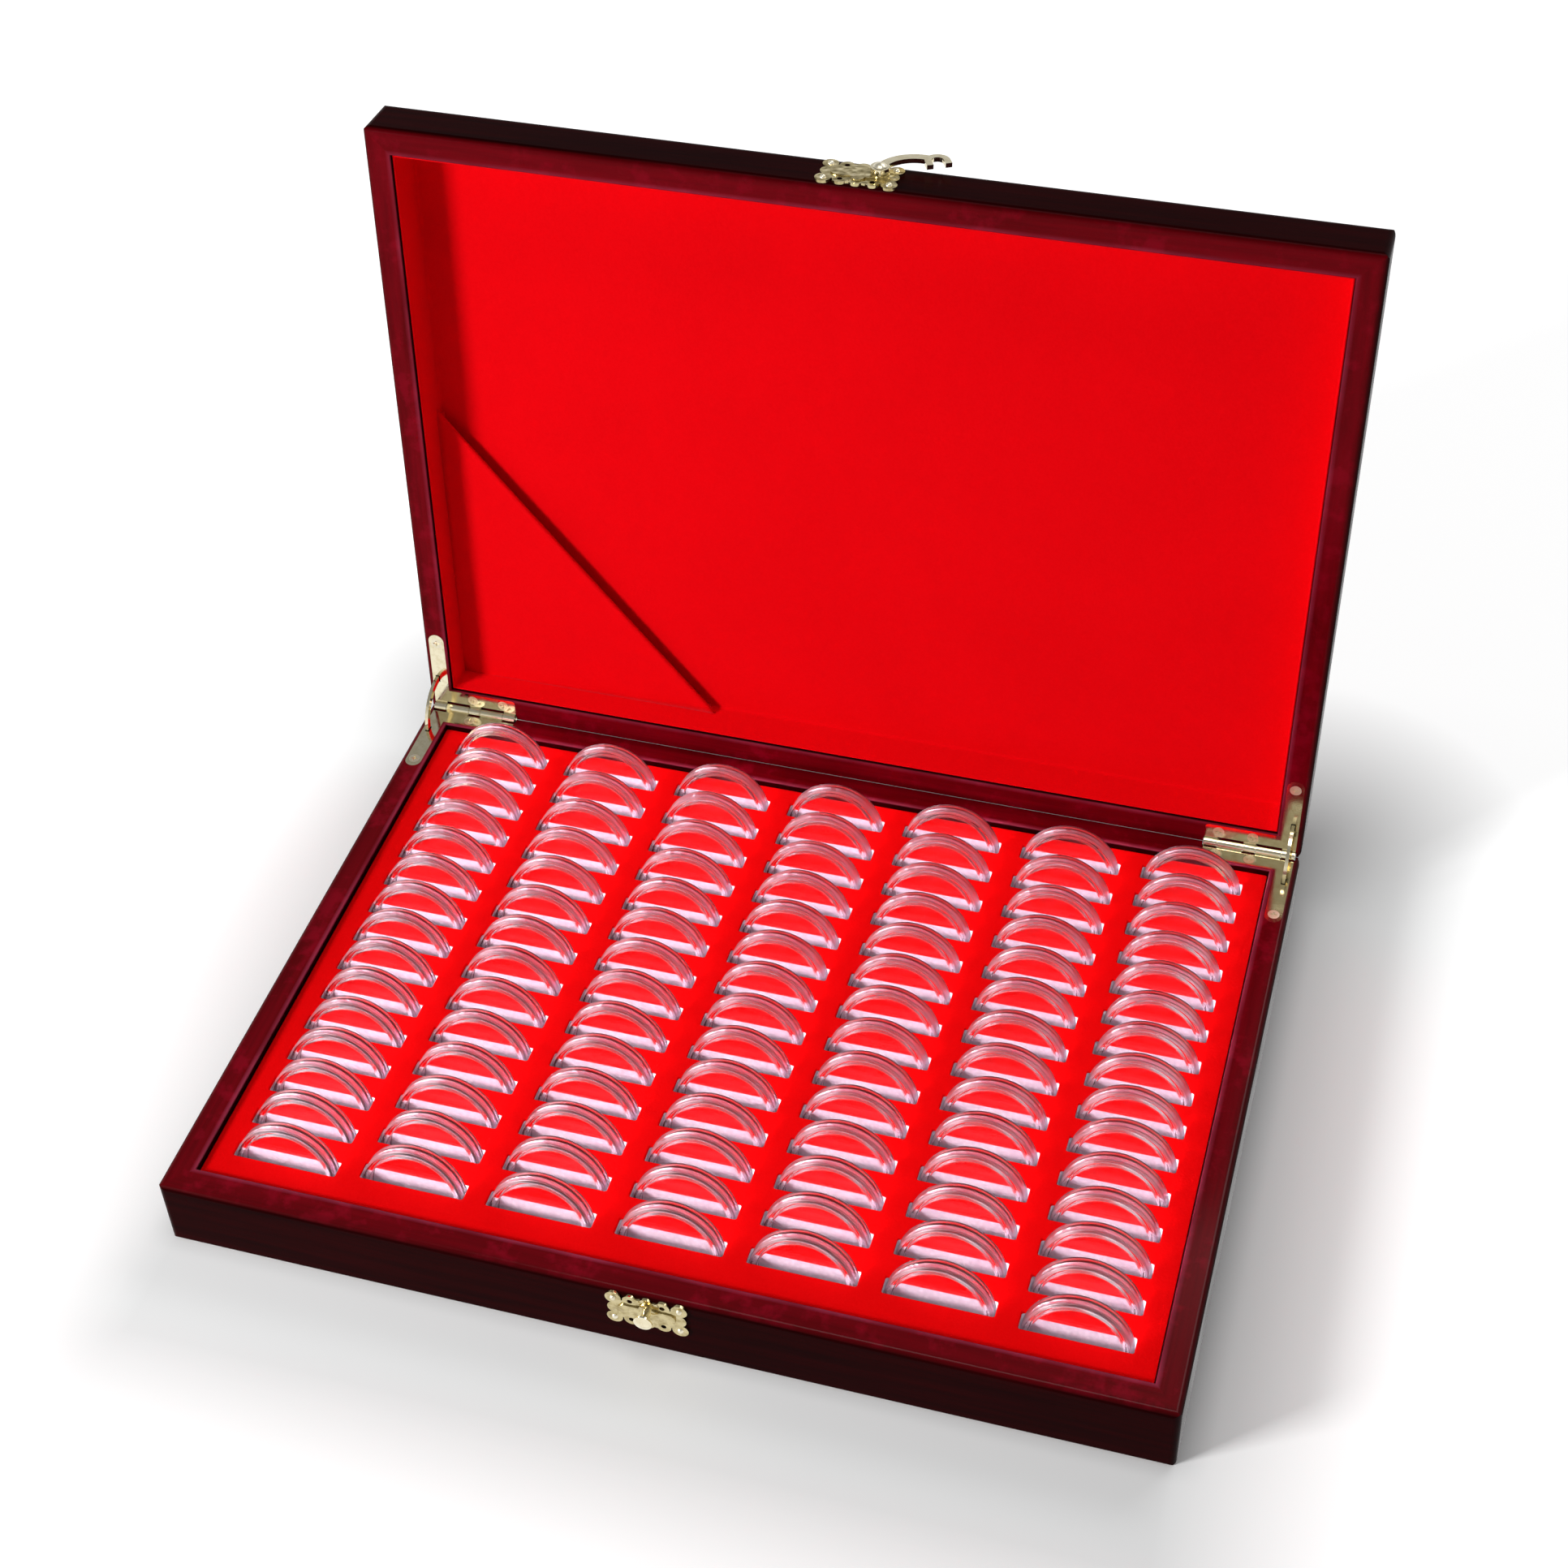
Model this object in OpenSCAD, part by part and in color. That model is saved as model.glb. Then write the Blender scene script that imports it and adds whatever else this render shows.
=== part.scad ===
// Lacquered wooden display case for coins, with its lid standing open.
// A foam insert holds rows of clear round capsules that stand on edge and lean back.
// Frame: origin at the centre of the base's underside, X to the right, Y to the back, Z up.

/* [Case] */
// Width over the side walls
case_w = 340; // [335:1:345]
// Depth from the front face to the back face
case_d = 245; // [243:1:250]
// Height of the base
base_h = 27.5; // [27:0.5:30]
// Height of the lid
lid_h = 19.5; // [19:0.5:24]
// Thickness of the base's walls
base_wall = 10; // [10:0.25:10.5]
// Thickness of the lid's walls
lid_wall = 9.5; // [9.5:0.25:10]
// Thickness of the panel under the base
bottom_t = 2.4; // [2:0.2:2.8]
// Thickness of the panel on top of the lid
top_t = 2.5; // [2:0.25:3]
// Gap between the two rims when the lid is shut
rim_gap = 0.3; // [0.2:0.1:0.4]
// Angle at which the lid stands open
open_angle = 94; // [90:1:96]
// Radius of the upright corners
corner_r = 2.5; // [1.5:0.5:2.5]

/* [Insert and capsules] */
// Outer diameter of a capsule
capsule_d = 36; // [34:0.5:36]
// Thickness of a capsule
capsule_t = 6; // [5.5:0.5:6]
// Lean of the capsules back from upright
lean = 12; // [10:1:13]
// Distance from one column of capsules to the next
column_pitch = 44.5; // [42:0.5:45]
// Capsules in the first and the last column
outer_rows = 15; // [10:1:15]
// Capsules in each of the five columns between them
inner_rows = 14; // [10:1:14]
// Depth of the flocked top of the insert below the rim
insert_drop = 2; // [1.5:0.5:3]
// Thickness of the flocked sheet
sheet_t = 0.8; // [0.6:0.1:1]
// Play on each side of a capsule in its slot
slot_play = 0.2; // [0.15:0.05:0.3]

/* [Lid lining] */
// Thickness of the lid's felt lining
lining_t = 0.8; // [0.6:0.1:1]
// Length of the certificate pocket along the hinge wall
pocket_w = 103; // [80:1:130]
// Length of the certificate pocket along the left wall
pocket_l = 119; // [80:1:140]
// Room for papers behind the pocket
pocket_gap = 3; // [2:0.5:3.5]
// Thickness of the pocket's covered card
pocket_t = 1.2; // [1:0.1:1.5]

/* [Hinges] */
// Length of a hinge leaf along the back
leaf_w = 33.4; // [30:0.2:36]
// Length of a hinge leaf along the side
leaf_l = 35; // [32:0.5:38]
// Width of a leaf's two legs
leg_w = 6.2; // [5.6:0.2:6.4]
// Thickness of a leaf
leaf_t = 1.2; // [1:0.1:1.2]
// Radius of a hinge barrel
barrel_r = 2; // [1.8:0.1:2]
// Radius of a hinge pin
pin_r = 0.9; // [0.7:0.1:0.9]
// Radius on which a lid stay bends round the hinge pin
stay_r = 13.5; // [12.5:0.5:14]

/* [Clasp] */
// Distance of the swing hook's pivot to the right of the middle
pivot_x = 6.5; // [5:0.5:7]
// Height of the hook's pivot above the lid's rim
pivot_up = 9.5; // [9:0.5:10]
// Depth of the stud below the base's rim
stud_down = 8; // [7.5:0.5:9]
// Angle at which the open hook stands above the horizontal
hook_rest = 28; // [10:1:40]

/* [Hidden] */
$fn = 64;
eps = 0.01;
SIDES = ["front", "right", "back", "left"];
HANDS = ["left", "right"];
columns = 7;
lid_z = base_h + rim_gap;
hinge_y = case_d / 2 - 0.5;
hinge_z = base_h + rim_gap / 2;

// Wall sections
rim_round = 2;
back_rim_round = 0.8;
inner_round = 0.7;
foot_round = 0.8;
crown_round = 3.5;
rabbet = 4;
panel_play = 0.2;
// The rims at the hinges are nearly square, so that no light shows between them
function outer_round(s) = s == "back" ? back_rim_round : rim_round;

// Insert and capsules
insert_play = 0.3;
insert_z = base_h - insert_drop;
foam_top = insert_z - sheet_t;
capsule_r = capsule_d / 2;
floor_play = 0.05;
capsule_mid_z = bottom_t + floor_play + capsule_r * cos(lean) + capsule_t / 2 * sin(lean);
capsule_sink = (insert_z - capsule_mid_z) / cos(lean);
slot_w = capsule_d + 2 * (slot_play + 0.1);
slot_t = capsule_t + 2 * slot_play;
outer_front = 23.2;
outer_back = 19.4;
inner_front = 25.3;
inner_back = 20.3;
window_t = 1.2;
window_sunk = 0.4;
window_bevel = 0.4;
capsule_rim = 2.7;
rim_bevel = 0.6;
tongue_in = 1.4;
tongue_h = 0.9;
seam_play = 0.05;
function is_outer(c) = c == 1 || c == columns;
function rows(c) = is_outer(c) ? outer_rows : inner_rows;
function column_x(c) = (c - (columns + 1) / 2) * column_pitch;
function front_y(c) = -case_d / 2 + (is_outer(c) ? outer_front : inner_front);
function back_y(c) = case_d / 2 - (is_outer(c) ? outer_back : inner_back);
function row_y(c, r) = front_y(c) + (r - 1) * (back_y(c) - front_y(c)) / (rows(c) - 1);

// Hinges, drawn on the right hand
leaf_out = case_w / 2 - 2;
leaf_in = leaf_out - leaf_w;
leaf_back = hinge_y - 0.5;
leaf_front = case_d / 2 - leaf_l;
back_leg_front = case_d / 2 - leg_w - 2.5;
leaf_corner_r = 1.2;
// Ends of the five knuckles, as shares of the leaf's width
knuckle_ends = [0, 0.15, 0.43, 0.57, 0.85, 1];
knuckle_gap = 0.2;
knuckle_notch = 0.8;
barrel_play = 0.3;
pin_play = 0.05;
screw_x = [leaf_in + 5, leaf_in + 17.5];
screw_back_y = back_leg_front + leg_w / 2 - 0.2;
screw_side = [leaf_out - leg_w / 2, leaf_front + 4];
screw_r = 1;
screw_head_r = 2.1;
screw_head_h = 1.1;
screw_l = 8.5;
recess_w = 0.5;
recess_l = 2.4;
recess_h = 0.6;
stay_t = 1.2;
stay_w = 2.4;
stay_x = leaf_out - 2.1;
stop_w = 4;
stop_arc = 3.3;
stay_play = 0.3;
stop_start = open_angle / 2 + asin((rim_gap / 2 + leaf_t + 0.15) / (stay_r - stop_w / 2));
stay_half = stop_start + stop_arc;

// Clasp
plate_t = 0.9;
emboss_t = 0.5;
lid_plate_up = 8.5;
catch_plate_down = 8.5;
nail_x = 11;
nail_z = 5;
nail_r = 0.55;
nail_head_r = 1.1;
nail_head_h = 0.8;
nail_l = 6;
eye_x = 5.4;
eye_z = 4.8;
eye_r = 0.9;
boss_r = 3.2;
hook_in = 2.3;
hook_t = 1.6;
hook_w = 3.2;
rivet_r = 1.2;
rivet_head_r = 2.3;
rivet_head_h = 1.1;
rivet_l = 4;
hook_play = 0.1;
hook_bow = 7.5;
neck_r = 1.5;
stud_head_r = 3.1;
stud_head_h = 1.3;
claw_r = neck_r + 0.5;
claw_w = 2.2;
claw_tip = 2.8;
hook_reach = sqrt(pow(pivot_x, 2) + pow(pivot_up + rim_gap + stud_down, 2));

// Places what is drawn for the shut lid where the open lid is
module open_lid() {
    translate([0, hinge_y, hinge_z])
        rotate([-open_angle, 0, 0])
            translate([0, -hinge_y, -hinge_z])
                children();
}

// Draws on the right hand, or mirrored on the left one
module on_hand(h) {
    mirror([h == "left" ? 1 : 0, 0, 0]) children();
}

// The waste outside a round of radius r in the corner of the positive quadrant
module corner_waste(r) {
    difference() {
        translate([-1, -1]) square(r + 1);
        translate([r, r]) circle(r);
    }
}

// Section of a base wall, outer face on x = 0, with a rabbet for the bottom panel
module base_section(rim_r) {
    difference() {
        square([base_wall, base_h]);
        corner_waste(foot_round);
        translate([0, base_h]) mirror([0, 1]) corner_waste(rim_r);
        translate([base_wall, base_h]) rotate(180) corner_waste(inner_round);
        translate([base_wall - rabbet, -1]) square([rabbet + 1, bottom_t + 1]);
    }
}

// Section of a lid wall, shut, outer face on x = 0, with a rabbet for the top panel
module lid_section(rim_r) {
    difference() {
        square([lid_wall, lid_h]);
        corner_waste(rim_r);
        translate([lid_wall, 0]) mirror([1, 0]) corner_waste(inner_round);
        translate([0, lid_h]) mirror([0, 1]) corner_waste(crown_round);
        translate([lid_wall - rabbet, lid_h - top_t]) square([rabbet + 1, top_t + 1]);
    }
}

// Plan of a mitred wall, outer face on y = 0, with its share of the round corners
module mitre_plan(run_l, t) {
    difference() {
        polygon([[-run_l / 2, 0], [run_l / 2, 0], [run_l / 2 - t, t], [t - run_l / 2, t]]);
        translate([-run_l / 2, 0]) corner_waste(corner_r);
        translate([run_l / 2, 0]) mirror([1, 0]) corner_waste(corner_r);
    }
}

// A mitred wall on one side of the case, with the section that is given as its child
module mitred_wall(s, t, h) {
    across = s == "front" || s == "back";
    run_l = across ? case_w : case_d;
    turn = s == "front" ? 0 : s == "right" ? 90 : s == "back" ? 180 : 270;
    rotate(turn)
        translate([0, -(across ? case_d : case_w) / 2, 0])
            intersection() {
                rotate([90, 0, 90])
                    translate([0, 0, -run_l / 2]) linear_extrude(run_l) children();
                linear_extrude(h) mitre_plan(run_l, t);
            }
}

// Outline of a hinge leaf, an L round the back corner
module leaf_outline() {
    end_r = leg_w / 2;
    difference() {
        translate([leaf_in, back_leg_front]) square([leaf_w, leaf_back - back_leg_front]);
        translate([leaf_in, back_leg_front]) corner_waste(leaf_corner_r);
    }
    translate([leaf_out - leg_w, leaf_front + end_r])
        square([leg_w, leaf_back - leaf_front - end_r]);
    translate([leaf_out - end_r, leaf_front + end_r]) circle(end_r);
}

// A stretch of cylinder on the hinge pin's line
module on_pin_line(x, l, r) {
    translate([x, hinge_y, hinge_z]) rotate([0, 90, 0]) cylinder(r = r, h = l);
}

// A stay's arc: a flat strip bent round the pin's line, from one angle to another
module stay_arc(from, to, w, t) {
    translate([stay_x, hinge_y, hinge_z])
        rotate([-90, 0, 0])
            rotate([0, 90, 0])
                rotate(from)
                    rotate_extrude(angle = to - from)
                        translate([stay_r - w / 2, -t / 2]) square([w, t]);
}

// The slot in a leaf that a stay slides through
module stay_slot() {
    w = stay_w + 2 * stay_play;
    t = stay_t + 2 * stay_play;
    translate([stay_x - t / 2, hinge_y - stay_r - w / 2, base_h - 5]) cube([t, w, 10]);
}

// The pocket cut in a rim for a leaf, its barrel and its stay
module hinge_seat(is_lid) {
    z = is_lid ? lid_z - 1 : base_h - leaf_t;
    translate([0, 0, z]) linear_extrude(leaf_t + 1) leaf_outline();
    on_pin_line(leaf_in - barrel_play, leaf_w + 2 * barrel_play, barrel_r + barrel_play);
    reach = stay_half + 2;
    stay_arc(is_lid ? -reach : -8, is_lid ? 8 : reach, stop_w + 3 * stay_play, stay_t + 3 * stay_play);
}

// A countersunk screw with its head's face on z = 0
module screw_body() {
    rotate_extrude()
        polygon([
            [0, 0], [screw_head_r, 0], [screw_r, -screw_head_h],
            [screw_r, -screw_l + screw_r], [0, -screw_l]
        ]);
}

// Places a child at each screw of the right-hand hinge, upside down in the lid's rim
module at_screws(is_lid) {
    places = concat([for (x = screw_x) [x, screw_back_y]], [screw_side]);
    for (p = places)
        translate([p[0], p[1], is_lid ? lid_z : base_h]) mirror([0, 0, is_lid ? 1 : 0]) children();
}

// All hinge waste of one side wall or of the back wall
module hinge_waste(s, is_lid) {
    for (h = s == "back" ? HANDS : [s])
        on_hand(h) {
            hinge_seat(is_lid);
            at_screws(is_lid) screw_body();
        }
}

// A front face's frame: x to the right, y up from the given height, z out of the wood
module on_front(z) {
    translate([0, -case_d / 2, z]) rotate([90, 0, 0]) children();
}

// Places a child at a clasp plate's four nails
module at_nails() {
    for (x = [-nail_x, nail_x], z = [-nail_z, nail_z]) translate([x, z, 0]) children();
}

// A spherical cap of radius r at its foot and height h
module cap(r, h) {
    ball_r = (r * r + h * h) / (2 * h);
    intersection() {
        translate([0, 0, h - ball_r]) sphere(ball_r);
        cylinder(r = r, h = h);
    }
}

// A wall of the base with the pockets and holes that its fittings need
module base_wall_piece(s) {
    color([0.36, 0, 0.04])
        difference() {
            mitred_wall(s, base_wall, base_h) base_section(outer_round(s));
            if (s == "front") {
                on_front(base_h - catch_plate_down)
                    at_nails() translate([0, 0, -nail_l]) cylinder(r = nail_r, h = nail_l + 1);
                on_front(base_h - stud_down)
                    translate([0, 0, -rivet_l]) cylinder(r = rivet_r, h = rivet_l + 1);
            }
            if (s != "front") hinge_waste(s, false);
        }
}

// A wall of the lid, shut, with the pockets and holes that its fittings need
module lid_wall_shut(s) {
    difference() {
        translate([0, 0, lid_z]) mitred_wall(s, lid_wall, lid_h) lid_section(outer_round(s));
        if (s == "front") {
            on_front(lid_z + lid_plate_up)
                at_nails() translate([0, 0, -nail_l]) cylinder(r = nail_r, h = nail_l + 1);
            on_front(lid_z + pivot_up)
                translate([pivot_x, 0, -rivet_l]) cylinder(r = rivet_r, h = rivet_l + 1);
        }
        if (s != "front") hinge_waste(s, true);
    }
}

module lid_wall_piece(s) {
    color([0.4, 0, 0.04]) open_lid() lid_wall_shut(s);
}

// A panel that lies in the rabbets of the four walls
module rabbet_panel(t, wall) {
    in = 2 * (wall - rabbet + panel_play);
    translate([-(case_w - in) / 2, -(case_d - in) / 2, 0]) cube([case_w - in, case_d - in, t]);
}

module base_bottom_panel() {
    color([0.3, 0.02, 0.04]) rabbet_panel(bottom_t, base_wall);
}

module lid_top_panel() {
    color([0.4, 0, 0.04])
        open_lid() translate([0, 0, lid_z + lid_h - top_t]) rabbet_panel(top_t, lid_wall);
}

// Places a child on a capsule's axis, +Z out of the capsule's front face
module at_capsule(c, r) {
    translate([column_x(c), row_y(c, r), insert_z])
        rotate([-lean, 0, 0])
            translate([0, 0, -capsule_sink])
                rotate([90, 0, 0])
                    children();
}

// The slots that the capsules stand in, cut right through
module capsule_slots() {
    for (c = [1:columns], r = [1:rows(c)])
        translate([column_x(c), row_y(c, r), insert_z])
            rotate([-lean, 0, 0])
                translate([-slot_w / 2, -slot_t / 2, -base_h - 5]) cube([slot_w, slot_t, base_h + 10]);
}

// A sheet of the insert that fills the base from wall to wall
module insert_layer(z, t) {
    w = case_w - 2 * (base_wall + insert_play);
    d = case_d - 2 * (base_wall + insert_play);
    difference() {
        translate([-w / 2, -d / 2, z]) cube([w, d, t]);
        capsule_slots();
    }
}

module foam_insert() {
    color([0.95, 0.95, 0.97]) insert_layer(bottom_t, foam_top - bottom_t);
}

module flocked_sheet() {
    color([0.9, 0, 0]) insert_layer(foam_top, sheet_t);
}

// The half of a capsule that faces back, with the tongue that the front half snaps over
module back_shell() {
    face = capsule_t / 2;
    room_r = capsule_r - capsule_rim;
    rotate_extrude()
        polygon([
            [0, window_sunk - face], [room_r, window_sunk - face], [room_r + window_bevel, -face],
            [capsule_r - rim_bevel, -face], [capsule_r, rim_bevel - face], [capsule_r, 0],
            [capsule_r - tongue_in, 0], [capsule_r - tongue_in, tongue_h], [room_r, tongue_h],
            [room_r, window_sunk + window_t - face], [0, window_sunk + window_t - face]
        ]);
}

// The half of a capsule that faces forwards
module front_shell() {
    face = capsule_t / 2;
    room_r = capsule_r - capsule_rim;
    lip_r = capsule_r - tongue_in + seam_play;
    rotate_extrude()
        polygon([
            [0, face - window_sunk], [room_r, face - window_sunk], [room_r + window_bevel, face],
            [capsule_r - rim_bevel, face], [capsule_r, face - rim_bevel], [capsule_r, 0],
            [lip_r, 0], [lip_r, tongue_h + seam_play], [room_r, tongue_h + seam_play],
            [room_r, face - window_sunk - window_t], [0, face - window_sunk - window_t]
        ]);
}

// The shells of one column behind its front row
module column_back_shells(c) {
    color([0.9, 0.88, 0.93, 0.4]) for (r = [2:rows(c)]) at_capsule(c, r) back_shell();
}

module column_front_shells(c) {
    color([0.95, 0.93, 0.97, 0.4]) for (r = [2:rows(c)]) at_capsule(c, r) front_shell();
}

// The two shells of a column's first capsule, which lifts out of its slot
module front_capsule_back_shell(c) {
    color([0.9, 0.88, 0.93, 0.4]) at_capsule(c, 1) back_shell();
}

module front_capsule_front_shell(c) {
    color([0.95, 0.93, 0.97, 0.4]) at_capsule(c, 1) front_shell();
}

// Felt tray that lines the lid's panel and the inside of its walls
module lid_lining() {
    w = case_w - 2 * lid_wall;
    d = case_d - 2 * lid_wall;
    edge = 1;
    depth = lid_h - top_t - edge;
    color([0.85, 0, 0.03])
        open_lid()
            translate([-w / 2, -d / 2, lid_z + edge])
                difference() {
                    cube([w, d, depth]);
                    translate([lining_t, lining_t, -1])
                        cube([w - 2 * lining_t, d - 2 * lining_t, depth - lining_t + 1]);
                }
}

// Three-cornered pocket in the hinge corner of the lining, open along its long edge
module certificate_pocket() {
    x = -case_w / 2 + lid_wall + lining_t;
    y = case_d / 2 - lid_wall - lining_t;
    z = lid_z + lid_h - top_t - lining_t - pocket_gap;
    inset = 3;
    color([0.85, 0, 0.03])
        open_lid()
            translate([x, y, z]) {
                translate([0, 0, -pocket_t])
                    linear_extrude(pocket_t) polygon([[0, 0], [pocket_w, 0], [0, -pocket_l]]);
                translate([0, -pocket_t, 0]) cube([pocket_w - inset, pocket_t, pocket_gap]);
                translate([0, inset - pocket_l, 0]) cube([pocket_t, pocket_l - inset, pocket_gap]);
            }
}

// One knuckle of the barrel, or the room for it, with a margin at each end
module knuckle(i, margin, r) {
    from = leaf_in + knuckle_ends[i] * leaf_w;
    to = leaf_in + knuckle_ends[i + 1] * leaf_w;
    on_pin_line(from - margin, to - from + 2 * margin, r);
}

// A leaf with every second knuckle of the barrel: two long ones on the base, three on the lid
module hinge_leaf(is_lid) {
    own = is_lid ? [0, 2, 4] : [1, 3];
    other = is_lid ? [1, 3] : [0, 2, 4];
    difference() {
        union() {
            difference() {
                translate([0, 0, is_lid ? lid_z : base_h - leaf_t])
                    linear_extrude(leaf_t) leaf_outline();
                for (i = other) knuckle(i, knuckle_gap / 2, barrel_r + knuckle_notch);
            }
            for (i = own) knuckle(i, -knuckle_gap / 2, barrel_r);
        }
        on_pin_line(leaf_in - 1, leaf_w + 2, is_lid ? pin_r + pin_play : pin_r);
        stay_slot();
        at_screws(is_lid) screw_body();
    }
}

module hinge_base_leaf(h) {
    color([0.8, 0.72, 0.5]) on_hand(h) hinge_leaf(false);
}

module hinge_lid_leaf(h) {
    color([0.8, 0.72, 0.5]) open_lid() on_hand(h) hinge_leaf(true);
}

module hinge_pin(h) {
    color([0.7, 0.65, 0.5]) on_hand(h) on_pin_line(leaf_in, leaf_w, pin_r);
}

// The stay slides in both leaves, and its wide ends stop the lid when it stands open
module lid_stay(h) {
    color([0.75, 0.68, 0.48])
        on_hand(h)
            translate([0, hinge_y, hinge_z])
                rotate([-open_angle / 2, 0, 0])
                    translate([0, -hinge_y, -hinge_z]) {
                        stay_arc(-stop_start - eps, stop_start + eps, stay_w, stay_t);
                        stay_arc(stop_start, stay_half, stop_w, stay_t);
                        stay_arc(-stay_half, -stop_start, stop_w, stay_t);
                    }
}

// A screw with its cross recess
module screw() {
    difference() {
        screw_body();
        for (a = [0, 90])
            rotate(a)
                translate([-recess_l / 2, -recess_w / 2, -recess_h]) cube([recess_l, recess_w, 1]);
    }
}

module base_hinge_screws() {
    color([0.78, 0.72, 0.55]) for (h = HANDS) on_hand(h) at_screws(false) screw();
}

module lid_hinge_screws() {
    color([0.78, 0.72, 0.55]) open_lid() for (h = HANDS) on_hand(h) at_screws(true) screw();
}

// Lobed outline of a clasp plate, centred
module clasp_outline() {
    square([21, 9], center = true);
    square([15, 12.4], center = true);
    for (x = [-1, 1]) {
        translate([x * 10.2, 0]) circle(3);
        for (z = [-1, 1]) {
            translate([x * nail_x, z * nail_z]) circle(2.7);
            translate([x * eye_x, z * eye_z]) circle(2.5);
        }
    }
    for (z = [-1, 1]) translate([0, z * 4.7]) circle(2.6);
}

// Raised field of a clasp plate
module clasp_field() {
    square([14, 5.6], center = true);
    for (x = [-1, 1]) translate([x * 7, 0]) circle(2.8);
    for (z = [-1, 1]) translate([0, z * 2.6]) circle(2.4);
}

// A clasp plate with nail holes and four pierced eyes
module clasp_plate() {
    difference() {
        union() {
            linear_extrude(plate_t) clasp_outline();
            translate([0, 0, plate_t]) linear_extrude(emboss_t) clasp_field();
        }
        at_nails() translate([0, 0, -1]) cylinder(r = nail_r, h = 5);
        for (x = [-eye_x, eye_x], z = [-eye_z, eye_z]) translate([x, z, -1]) cylinder(r = eye_r, h = 5);
    }
}

// A nail with its round head on a plate
module nail() {
    translate([0, 0, plate_t]) cap(nail_head_r, nail_head_h);
    translate([0, 0, -nail_l]) cylinder(r = nail_r, h = nail_l + plate_t + eps);
}

module clasp_lid_plate() {
    rise = pivot_up - lid_plate_up;
    color([0.82, 0.74, 0.5])
        open_lid()
            on_front(lid_z + lid_plate_up)
                difference() {
                    union() {
                        clasp_plate();
                        translate([pivot_x, rise, 0]) cylinder(r = boss_r, h = hook_in - hook_play);
                    }
                    translate([pivot_x, rise, -1]) cylinder(r = rivet_r, h = 9);
                }
}

// The swing hook in its own frame: pivot at the origin, claw along +X and open towards -Y
module hook_shape() {
    bow_x = hook_reach / 2;
    bow_y = -hook_bow;
    bow_r = sqrt(bow_x * bow_x + bow_y * bow_y);
    claw_mid = claw_r + claw_w / 2;
    bow_from = atan2(claw_mid * 0.7 - bow_y, hook_reach - claw_mid * 0.7 - bow_x);
    bow_to = atan2(-bow_y, -bow_x);
    difference() {
        cylinder(r = boss_r, h = hook_t);
        translate([0, 0, -1]) cylinder(r = rivet_r + pin_play, h = hook_t + 2);
    }
    difference() {
        translate([bow_x, bow_y, 0])
            rotate(bow_from)
                rotate_extrude(angle = bow_to - bow_from)
                    translate([bow_r - hook_w / 2, 0]) square([hook_w, hook_t]);
        translate([0, 0, -1]) cylinder(r = boss_r - 0.5, h = hook_t + 2);
        translate([hook_reach, 0, -1]) cylinder(r = claw_r + 0.5, h = hook_t + 2);
    }
    translate([hook_reach, 0, 0]) {
        rotate_extrude(angle = 180) translate([claw_r, 0]) square([claw_w, hook_t]);
        for (x = [claw_r, -claw_r - claw_w])
            translate([x, -claw_tip, 0]) cube([claw_w, claw_tip + eps, hook_t]);
    }
}

module clasp_hook() {
    color([0.85, 0.78, 0.55])
        open_lid()
            on_front(lid_z + pivot_up)
                translate([pivot_x, 0, hook_in]) rotate(hook_rest) hook_shape();
}

module clasp_pivot_rivet() {
    color([0.8, 0.74, 0.55])
        open_lid()
            on_front(lid_z + pivot_up)
                translate([pivot_x, 0, 0]) {
                    translate([0, 0, -rivet_l])
                        cylinder(r = rivet_r, h = rivet_l + hook_in + hook_t + hook_play + eps);
                    translate([0, 0, hook_in + hook_t + hook_play]) cap(rivet_head_r, rivet_head_h);
                }
}

module clasp_lid_nails() {
    color([0.78, 0.72, 0.55]) open_lid() on_front(lid_z + lid_plate_up) at_nails() nail();
}

module clasp_catch_plate() {
    color([0.82, 0.74, 0.5])
        on_front(base_h - catch_plate_down)
            difference() {
                clasp_plate();
                translate([0, catch_plate_down - stud_down, -1]) cylinder(r = rivet_r, h = 5);
            }
}

// Headed stud that the hook's claw slips behind
module clasp_catch_stud() {
    foot = plate_t + emboss_t;
    neck_end = hook_in + hook_t + 4 * hook_play;
    edge_h = 0.6;
    color([0.85, 0.78, 0.55])
        on_front(base_h - stud_down) {
            translate([0, 0, -rivet_l]) cylinder(r = rivet_r, h = rivet_l + foot + eps);
            translate([0, 0, foot]) cylinder(r = neck_r, h = neck_end - foot + eps);
            translate([0, 0, neck_end]) cylinder(r = stud_head_r, h = edge_h + eps);
            translate([0, 0, neck_end + edge_h]) cap(stud_head_r, stud_head_h - edge_h);
        }
}

module clasp_catch_nails() {
    color([0.78, 0.72, 0.55]) on_front(base_h - catch_plate_down) at_nails() nail();
}

for (s = SIDES) base_wall_piece(s);
base_bottom_panel();
foam_insert();
flocked_sheet();
for (c = [1:columns]) {
    column_back_shells(c);
    column_front_shells(c);
    front_capsule_back_shell(c);
    front_capsule_front_shell(c);
}
for (s = SIDES) lid_wall_piece(s);
lid_top_panel();
lid_lining();
certificate_pocket();
for (h = HANDS) {
    hinge_base_leaf(h);
    hinge_lid_leaf(h);
    hinge_pin(h);
    lid_stay(h);
}
base_hinge_screws();
lid_hinge_screws();
clasp_lid_plate();
clasp_hook();
clasp_pivot_rivet();
clasp_lid_nails();
clasp_catch_plate();
clasp_catch_stud();
clasp_catch_nails();
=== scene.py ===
"""Lacquered coin display case with its lid open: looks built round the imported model."""
import math

import bmesh
import bpy
import numpy as np
from mathutils import Matrix, Vector
from mathutils.geometry import delaunay_2d_cdt


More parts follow.
